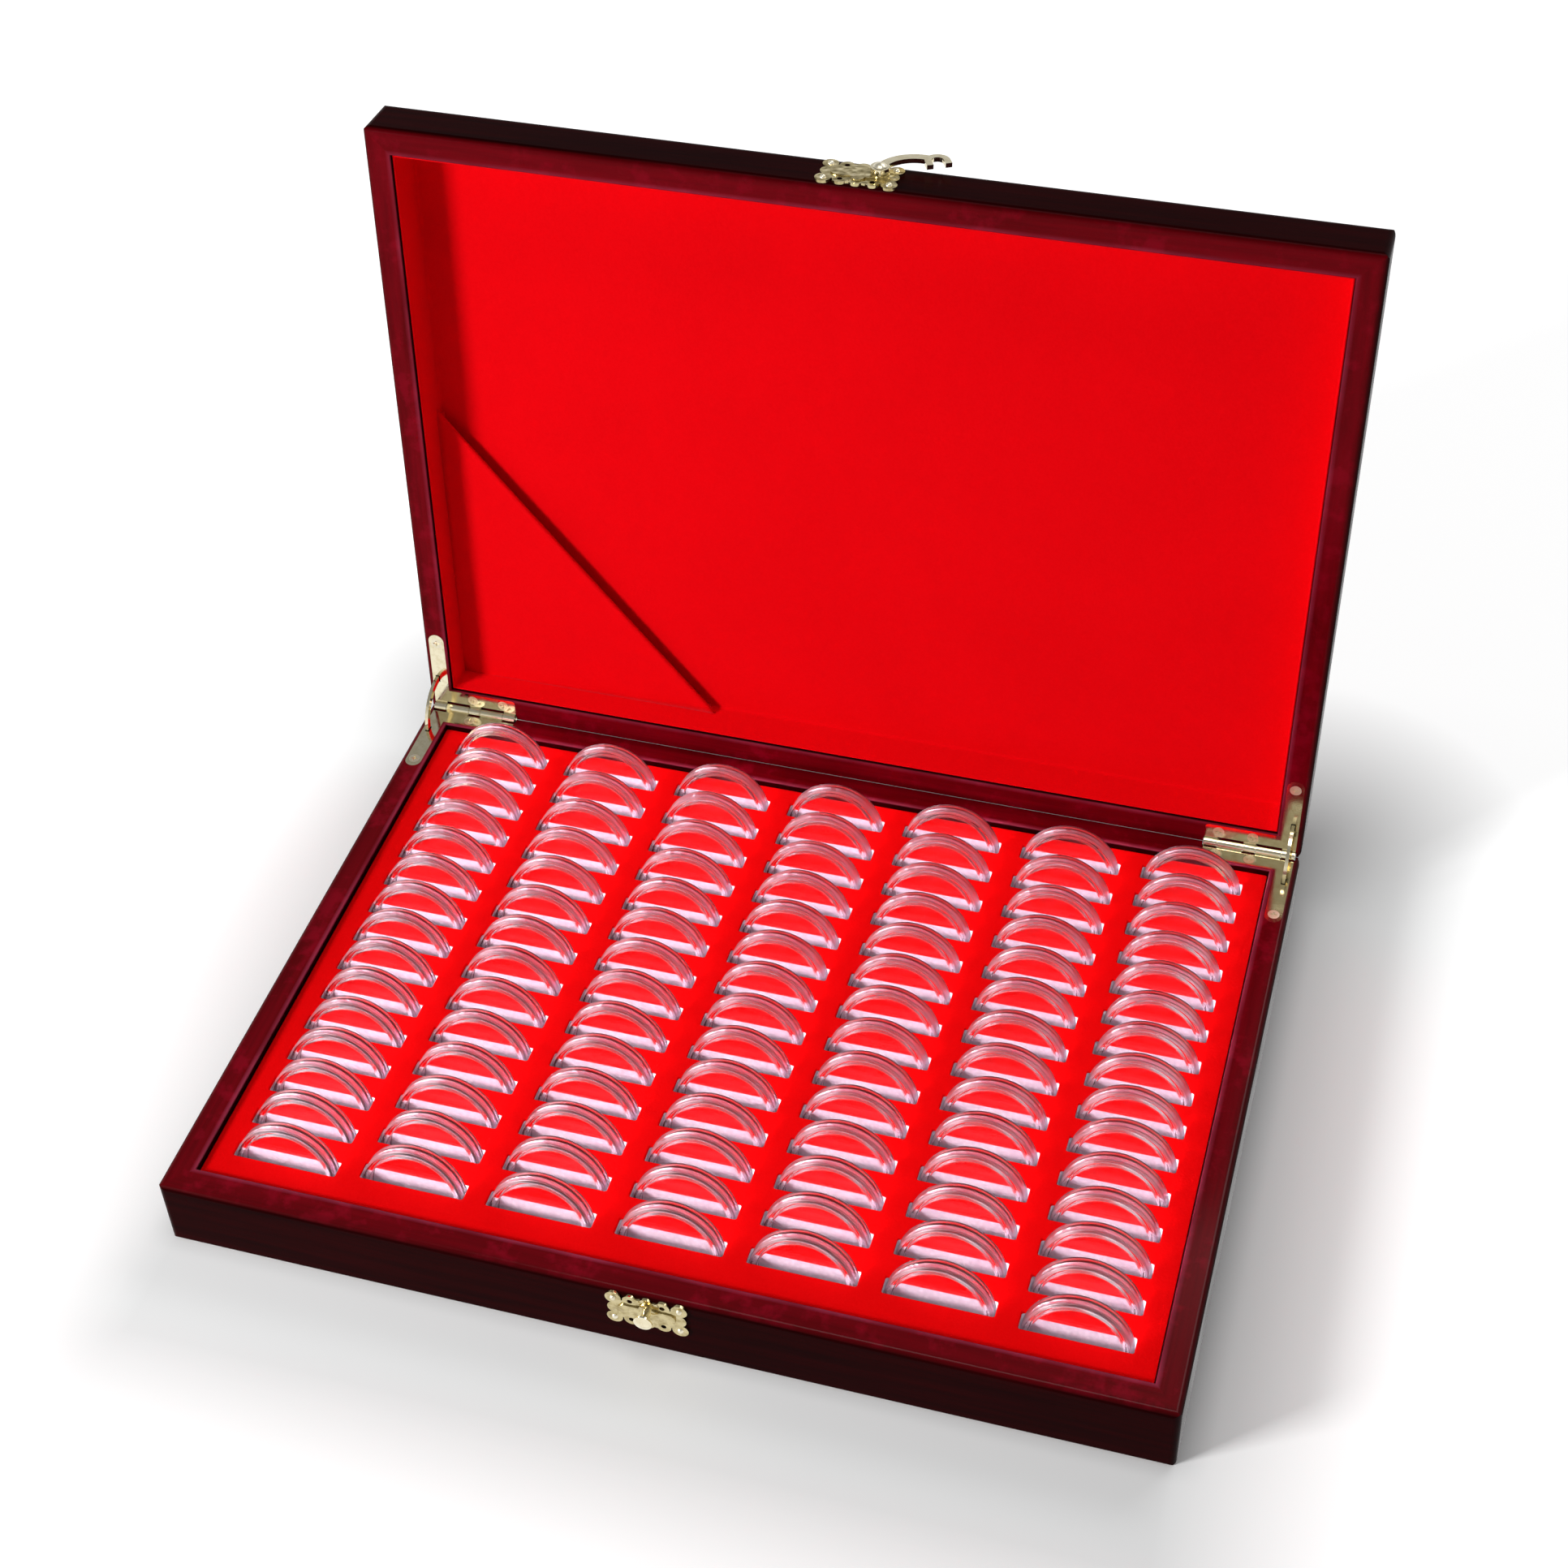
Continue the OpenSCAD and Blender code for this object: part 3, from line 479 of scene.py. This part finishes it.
def slotted_sheet(top_z, thick, lip, levels, wave):
    """Points and faces of a sheet that fills the base, with a leaning slot for each capsule.

    lip is the radius of its rounded top edges, levels the depths of the rings down its edges,
    and wave how far its top rises and falls."""
    tilt = math.tan(LEAN)
    outer = rounded_rectangle(INSERT_W - 2 * lip, INSERT_D - 2 * lip, SHEET_CORNER)
    hole = rounded_rectangle(SLOT_W + 2 * lip, SLOT_T / math.cos(LEAN) + 2 * lip, SLOT_CORNER)
    middles = slots()
    flat, loops = [], []
    for cx, cy, outline in [(0, 0, outer)] + [(x, y, hole) for x, y in middles]:
        start = len(flat)
        flat += [(cx + x, cy + y) for x, y in outline]
        loops.append((cx, cy, list(range(start, len(flat)))))
    xs, ys = (np.arange(-size / 2 + FIRST_POINT, size / 2 - LAST_POINT, POINT_STEP)
              for size in (INSERT_W, INSERT_D))
    inside = np.array([(x, y) for x in xs for y in ys])
    holes = np.array(middles)
    away = np.abs(inside[:, None, :] - holes[None, :, :])
    free = ~np.any((away[..., 0] < SLOT_W / 2 + lip + CLEAR_OF_SLOT[0])
                   & (away[..., 1] < SLOT_T / 2 + lip + CLEAR_OF_SLOT[1]), 1)
    flat += [tuple(p) for p in inside[free]]
    edges = [(loop[i], loop[(i + 1) % len(loop)]) for _, _, loop in loops for i in range(len(loop))]
    cdt = delaunay_2d_cdt([Vector(p) for p in flat], edges, [], 0, 1e-6)
    points_2d = np.array([tuple(p) for p in cdt[0]])
    index = {given: made for made, givens in enumerate(cdt[3]) for given in givens}
    faces = []
    for f in cdt[2]:
        mid = points_2d[list(f)].mean(0)
        off = np.abs(holes - mid)
        if np.any((off[:, 0] < SLOT_W / 2 + lip) & (off[:, 1] < SLOT_T / 2 / math.cos(LEAN) + lip)):
            continue
        faces.append(tuple(f))
    xs, ys = points_2d[:, 0], points_2d[:, 1]
    w1, w2, w3 = SHEET_WAVES
    rise = wave * np.sin(xs / w1 + 0.6 * np.sin(ys / w2)) * np.cos(ys / w3)
    points = [(x, y, top_z + z) for (x, y), z in zip(points_2d, rise)]
    under = [len(points) + i for i in range(len(points))]
    points += [(x, y - thick * tilt, top_z - thick) for x, y in points_2d]
    bottom_faces = [tuple(under[i] for i in reversed(f)) for f in faces]
    for cx, cy, loop in loops:
        outer_edge = loop[0] == 0
        base_ring = [index[i] for i in loop]
        rings = [base_ring]
        for inset, depth in levels:
            ring = []
            for i in base_ring:
                x, y = points_2d[i]
                if outer_edge:
                    grow = 1 + (lip - inset) / (INSERT_W / 2), 1 + (lip - inset) / (INSERT_D / 2)
                    p = (x * grow[0], y * grow[1], top_z - depth)
                else:
                    half_w, half_t = SLOT_W / 2 + lip, SLOT_T / math.cos(LEAN) / 2 + lip
                    p = (cx + (x - cx) * (half_w - lip + inset) / half_w,
                         cy + (y - cy) * (half_t - lip + inset) / half_t - depth * tilt, top_z - depth)
                ring.append(len(points))
                points.append(p)
            rings.append(ring)
        last = []
        for i, j in zip(base_ring, rings[-1]):
            points[under[i]] = (points[j][0], points[j][1], top_z - thick)
            last.append(under[i])
        rings[-1] = last
        for a, b in zip(rings, rings[1:]):
            for k in range(len(a)):
                k2 = (k + 1) % len(a)
                quad = (a[k], a[k2], b[k2], b[k])
                faces.append(quad if not outer_edge else quad[::-1])
    return points, faces + bottom_faces


def lip_levels(lip, thick, extra=()):
    """(inset, depth) of the rings over a rounded lip and down the edge."""
    turn = [math.radians(a) for a in (30, 60, 90)]
    over = [(lip * (1 - math.sin(a)), lip * (1 - math.cos(a))) for a in turn]
    return over + [(0.0, d) for d in extra] + [(0.0, thick)]


# Soft linings

def build_flocked_top():
    """Flocked sheet on the insert, its slot edges turned down softly."""
    lip, wave = 0.35, 0.12
    points, faces = slotted_sheet(INSERT_Z, SHEET_T, lip, lip_levels(lip, SHEET_T), wave)
    o = add_piece("flocked_top", points, faces, FLOCK, "base", ["flocked_sheet"], smooth=False)


def build_foam_block():
    """White foam block that the capsules stand in."""
    lip, thick, ring_depths = 0.15, INSERT_Z - SHEET_T - BOTTOM_T, (4, 9, 14, 19)
    points, faces = slotted_sheet(INSERT_Z - SHEET_T, thick, lip, lip_levels(lip, thick, ring_depths), 0.0)
    o = add_piece("foam_block", points, faces, FOAM, "base", ["foam_insert"], smooth=False)


def swept_tray(w, d, section, nx, ny):
    """Rings of a rectangular tray whose section is a list of (inset, height); gives points and rings."""
    xs, ys = np.linspace(-1, 1, nx + 1), np.linspace(-1, 1, ny + 1)
    around = [(x, -1) for x in xs] + [(1, y) for y in ys[1:]]
    around += [(x, 1) for x in xs[::-1][1:]] + [(-1, y) for y in ys[::-1][1:-1]]
    points, rings = [], []
    for inset, z in section:
        rings.append(list(range(len(points), len(points) + len(around))))
        points += [(x * (w / 2 - inset), y * (d / 2 - inset), z) for x, y in around]
    return points, rings, xs, ys


def bridge(rings):
    """Faces between each ring of points and the next."""
    return [(a[k], a[(k + 1) % len(a)], b[(k + 1) % len(a)], b[k])
            for a, b in zip(rings, rings[1:]) for k in range(len(a))]


# Glue pips under the lid's felt: x and y in the shut lid, radius and height, in millimetres
LID_PIPS = [(-113.1, -39.4, 1.6, 0.30), (-51.8, -27.6, 1.5, 0.25), (108.3, -54.8, 1.7, 0.28)]


def build_lid_felt():
    """Felt tray in the lid: a rolled edge at the rim, soft inner corners, and pips of glue under it."""
    w, d = CASE_W - 2 * LID_WALL, CASE_D - 2 * LID_WALL
    below_rim, corner_r, puff = 1.0, 1.3, 0.10
    z0, depth = LID_Z + below_rim, LID_H - TOP_T - below_rim
    floor = z0 + depth - LINING_T
    r = LINING_T / 2
    half_turn = [math.radians(a) for a in range(0, 181, 30)]
    quarter = [math.radians(a) for a in range(0, 91, 18)]
    rolled = [(r - r * math.cos(a), z0 + r - r * math.sin(a)) for a in half_turn]
    corner = [(LINING_T + corner_r * (1 - math.cos(a)), floor - corner_r * (1 - math.sin(a)))
              for a in quarter]
    section = [(0.0, z0 + depth)] + rolled + corner
    nx, ny = 80, 56
    points, rings, xs, ys = swept_tray(w, d, section, nx, ny)
    faces = bridge(rings)
    faces.append(tuple(reversed(rings[0])))
    inner_w, inner_d = w / 2 - section[-1][0], d / 2 - section[-1][0]
    grid = {}
    on_ring = {(round(points[i][0], 4), round(points[i][1], 4)): i for i in rings[-1]}
    for i, x in enumerate(xs):
        for j, y in enumerate(ys):
            px, py = x * inner_w, y * inner_d
            key = (round(px, 4), round(py, 4))
            if key in on_ring:
                grid[i, j] = on_ring[key]
                continue
            z = floor - puff * (1 + math.sin(px / FELT_WAVES[0] + 0.8 * math.sin(py / FELT_WAVES[1]))) * 0.5
            for qx, qy, r_pip, h in LID_PIPS:
                z -= h * math.exp(-((px - qx) ** 2 + (py - qy) ** 2) / r_pip ** 2)
            grid[i, j] = len(points)
            points.append((px, py, z))
    for i in range(nx):
        for j in range(ny):
            faces.append((grid[i, j], grid[i + 1, j], grid[i + 1, j + 1], grid[i, j + 1]))
    points = [opened(p) for p in points]
    o = add_piece("lid_felt", points, faces, FELT, "lid", ["lid_lining"])


def build_pocket():
    """Three-cornered pocket of felt-covered card with a turned hem along its open edge."""
    x0, y0 = -CASE_W / 2 + LID_WALL + LINING_T, CASE_D / 2 - LID_WALL - LINING_T
    z0 = LID_Z + LID_H - TOP_T - LINING_T - POCKET_GAP
    along, down = 36, 24
    hem, bow_h, swell_h, swell_w, strip_gap = 2.6, 0.5, 0.22, 1.1, 3
    long_edge = math.hypot(POCKET_W, POCKET_L)
    height = POCKET_W * POCKET_L / long_edge
    # Rows from the closed corner to the open edge, closer together over the hem
    shares = [0.0] + list(np.linspace(0.06, 1 - hem / height, down - 5))
    shares += [1 - hem / height * s for s in (0.82, 0.5, 0.2, 0.06, 0.0)]
    t = POCKET_T

    def layer(side):
        """Rows of points over the card's seen side, -1, or its hidden side, 1."""
        rows = []
        for share in shares:
            row = []
            for i in range(along + 1):
                s = i / along
                x, y = POCKET_W * (1 - s) * share, -POCKET_L * s * share
                from_edge = (1 - share) * height
                bow = bow_h * math.sin(math.pi * s) * share ** 3
                swell = swell_h * math.exp(-((from_edge - hem / 2) / swell_w) ** 2)
                half = t / 2
                if from_edge < half:
                    half = math.sqrt(max(0.0, half ** 2 - (half - from_edge) ** 2))
                z = -t / 2 - bow + side * (half + (swell if side < 0 else 0.0))
                row.append((x0 + x, y0 + y, z0 + z))
            rows.append(row)
        return rows

    points, faces = [], []
    index = {}

    def add_face(corners, turned):
        """A face in which corners on the same point count once."""
        corners = list(dict.fromkeys(corners))
        if len(corners) > 2:
            faces.append(tuple(corners[::-1] if turned else corners))

    for side in (-1, 1):
        for k, row in enumerate(layer(side)):
            for i, p in enumerate(row):
                if k == 0 and i:
                    index[side, k, i] = index[side, 0, 0]
                    continue
                if side == 1 and k == len(shares) - 1:
                    index[side, k, i] = index[-1, k, i]
                    continue
                index[side, k, i] = len(points)
                points.append(p)
    for side in (-1, 1):
        for k in range(len(shares) - 1):
            for i in range(along):
                add_face([index[side, k, i], index[side, k, i + 1], index[side, k + 1, i + 1],
                          index[side, k + 1, i]], side > 0)
    for i in (0, along):
        for k in range(len(shares) - 1):
            add_face([index[-1, k, i], index[-1, k + 1, i], index[1, k + 1, i], index[1, k, i]], i == 0)
    # Strips that hold the card off the lining along the pocket's two closed sides, short of its mouth
    for x1, y1, x2, y2 in ((0, -t, POCKET_W - strip_gap, 0), (0, strip_gap - POCKET_L, t, -t)):
        base = len(points)
        points += [(x0 + x, y0 + y, z0 + z) for z in (0, POCKET_GAP)
                   for x, y in ((x1, y1), (x2, y1), (x2, y2), (x1, y2))]
        faces += [tuple(base + i for i in f) for f in
                  ((0, 3, 2, 1), (4, 5, 6, 7), (0, 1, 5, 4), (1, 2, 6, 5), (2, 3, 7, 6), (3, 0, 4, 7))]
    points = [opened(p) for p in points]
    add_piece("pocket_felt", points, faces, FELT, "lid", ["certificate_pocket"])


build_flocked_top()
build_foam_block()
build_lid_felt()
build_pocket()


# Hard pieces

def dress_hard_pieces():
    """Materials of the wood, the capsules and the fittings."""
    for body, lacquer in (("base", BASE_LACQUER), ("lid", LID_LACQUER)):
        for side in SIDES:
            walls = "front and back" if side in ("front", "back") else "sides"
            finish_node(f"{body}_{side}_wall", lacquer[walls])
    finish_node("base_bottom_panel", BASE_LACQUER["front and back"])
    finish_node("lid_top_panel", LID_LACQUER["front and back"])
    for c in COLUMNS:
        for name in (f"column_{c}_back_shells", f"column_{c}_front_shells",
                     f"front_capsule_{c}_back_shell", f"front_capsule_{c}_front_shell"):
            finish_node(name, CLEAR)
    for hand in HANDS:
        for name in ("hinge_{}_base_leaf", "hinge_{}_lid_leaf", "lid_stay_{}", "hinge_{}_pin"):
            finish_node(name.format(hand), BRASS)
    for name in ("clasp_lid_plate", "clasp_catch_plate"):
        finish_node(name, BRASS_PLATE_PAINTED_DARK)
    for name in ("clasp_hook", "clasp_catch_stud"):
        finish_node(name, BRASS)
    for name in ("base_hinge_screws", "lid_hinge_screws", "clasp_pivot_rivet", "clasp_lid_nails",
                 "clasp_catch_nails"):
        finish_node(name, BRASS_SCREW)


dress_hard_pieces()


# Studio

# Half sizes of the floor under and close round the case, which keeps its full shade
SHADED = (0.168, 0.160, 0.0)
# Name, place, target, size and power of each lamp
LAMPS = (("key", (-1.2, -1.08, 0.78), (0.0, 0.05, 0.1), (0.42, 0.4), 29.0),
         ("fill", (0.9, -1.1, 1.0), (0.0, 0.0, 0.08), (1.0, 1.0), 0.8),
         ("top", (0.0, -0.05, 1.5), (0.0, -0.02, 0.0), (0.8, 0.5), 4.5),
         ("back", (0.5, 1.0, 1.25), (0.0, 0.1, 0.1), (0.8, 0.6), 4.5))


def backdrop_material(name, lit, seen, lift):
    """Pale surface that takes shadows; away from the object it is lifted to white for the camera.

    Metal and clear plastic see it as one pale colour."""
    m, tree, shader = new_material(name, Roughness=0.9, Specular_IOR_Level=0.0, Base_Color=(*lit, 1))
    glow = tree.nodes.new("ShaderNodeEmission")
    glow.inputs["Color"].default_value = (*seen, 1)
    path = tree.nodes.new("ShaderNodeLightPath")
    sees = math_node(tree, "MAXIMUM", path.outputs["Is Glossy Ray"], path.outputs["Is Transmission Ray"])
    either = mix_shader(tree, sees, shader.outputs[0], glow.outputs[0])
    away = object_place(tree)
    for way, value in (("ABSOLUTE", None), ("SUBTRACT", SHADED), ("MAXIMUM", (0, 0, 0)), ("LENGTH", None)):
        away = vector_node(tree, way, away, value)
    near, far = span(tree, away, 0.0, 0.09, 0.0, lift), span(tree, away, 0.4, 1.8, 0.0, 0.35)
    camera_glow = tree.nodes.new("ShaderNodeEmission")
    lifted = math_node(tree, "MULTIPLY", path.outputs["Is Camera Ray"], math_node(tree, "ADD", near, far))
    tree.links.new(lifted, camera_glow.inputs["Strength"])
    both = tree.nodes.new("ShaderNodeAddShader")
    tree.links.new(either, both.inputs[0])
    tree.links.new(camera_glow.outputs[0], both.inputs[1])
    tree.links.new(both.outputs[0], tree.nodes["Material Output"].inputs["Surface"])
    return m


def build_floor():
    """A wide floor, a hair below the case's underside."""
    mesh = bpy.data.meshes.new("floor")
    half, z = 6, -0.0002
    corners = [(x * half, y * half, z) for x, y in ((-1, -1), (1, -1), (1, 1), (-1, 1))]
    mesh.from_pydata(corners, [], [(0, 1, 2, 3)])
    mesh.materials.append(backdrop_material("pale floor", lit=(0.93,) * 3, seen=(0.97,) * 3, lift=0.6))
    floor = bpy.data.objects.new("floor", mesh)
    scene.collection.objects.link(floor)


def build_world(level, overhead):
    """Soft room light; a white room to the camera, and darker overhead in the reflections."""
    world = bpy.data.worlds.new("studio")
    scene.world = world
    world.use_nodes = True
    tree = world.node_tree
    soft = tree.nodes["Background"]
    soft.inputs["Color"].default_value = (1, 1, 1, 1)
    soft.inputs["Strength"].default_value = level
    white = tree.nodes.new("ShaderNodeBackground")
    up = tree.nodes.new("ShaderNodeSeparateXYZ")
    tree.links.new(tree.nodes.new("ShaderNodeTexCoord").outputs["Generated"], up.inputs[0])
    path = tree.nodes.new("ShaderNodeLightPath")
    dimmed = math_node(tree, "MULTIPLY", path.outputs["Is Glossy Ray"],
                       span(tree, up.outputs["Z"], 0.15, 0.65, 0.0, 1.0 - overhead))
    tree.links.new(math_node(tree, "SUBTRACT", 1.0, dimmed), white.inputs["Strength"])
    mirrored = math_node(tree, "MAXIMUM", path.outputs["Is Glossy Ray"], path.outputs["Is Transmission Ray"])
    sees = math_node(tree, "MAXIMUM", path.outputs["Is Camera Ray"], mirrored)
    either = mix_shader(tree, sees, soft.outputs[0], white.outputs[0])
    tree.links.new(either, tree.nodes["World Output"].inputs["Surface"])


def add_soft_lamp(name, place, target, size, power):
    """A rectangular lamp of a size in metres and a power in watts."""
    lamp = bpy.data.lights.new(name, "AREA")
    lamp.shape, lamp.size, lamp.size_y = "RECTANGLE", size[0], size[1]
    lamp.energy = power
    o = bpy.data.objects.new(name, lamp)
    o.location = place
    o.rotation_mode = "QUATERNION"
    o.rotation_quaternion = (Vector(target) - Vector(place)).to_track_quat("-Z", "Y")
    scene.collection.objects.link(o)


def add_camera():
    """The camera that the photograph was taken with, fitted to the case's edges."""
    azimuth, elevation, roll = 0.313, 0.76, -0.043
    place = (0.2012, -0.5804, 0.7201)
    forward = Vector((-math.sin(azimuth) * math.cos(elevation), math.cos(azimuth) * math.cos(elevation),
                      -math.sin(elevation)))
    level = Vector((math.cos(azimuth), math.sin(azimuth), 0))
    up = level.cross(forward)
    right = level * math.cos(roll) + up * math.sin(roll)
    top = up * math.cos(roll) - level * math.sin(roll)
    data = bpy.data.cameras.new("camera")
    data.lens, data.sensor_width = 61.1, 36.0
    camera = bpy.data.objects.new("camera", data)
    turn = Matrix((right, top, -forward)).transposed()
    camera.matrix_world = Matrix.Translation(place) @ turn.to_4x4()
    scene.collection.objects.link(camera)
    scene.camera = camera


build_floor()
build_world(level=0.07, overhead=0.35)
for lamp in LAMPS:
    add_soft_lamp(*lamp)
# A ray goes through several capsules, so it needs more steps than usual
scene.cycles.max_bounces = scene.cycles.transmission_bounces = 20
scene.cycles.transparent_max_bounces = 24
add_camera()
scene.view_settings.view_transform = "Standard"

bpy.context.view_layer.update()
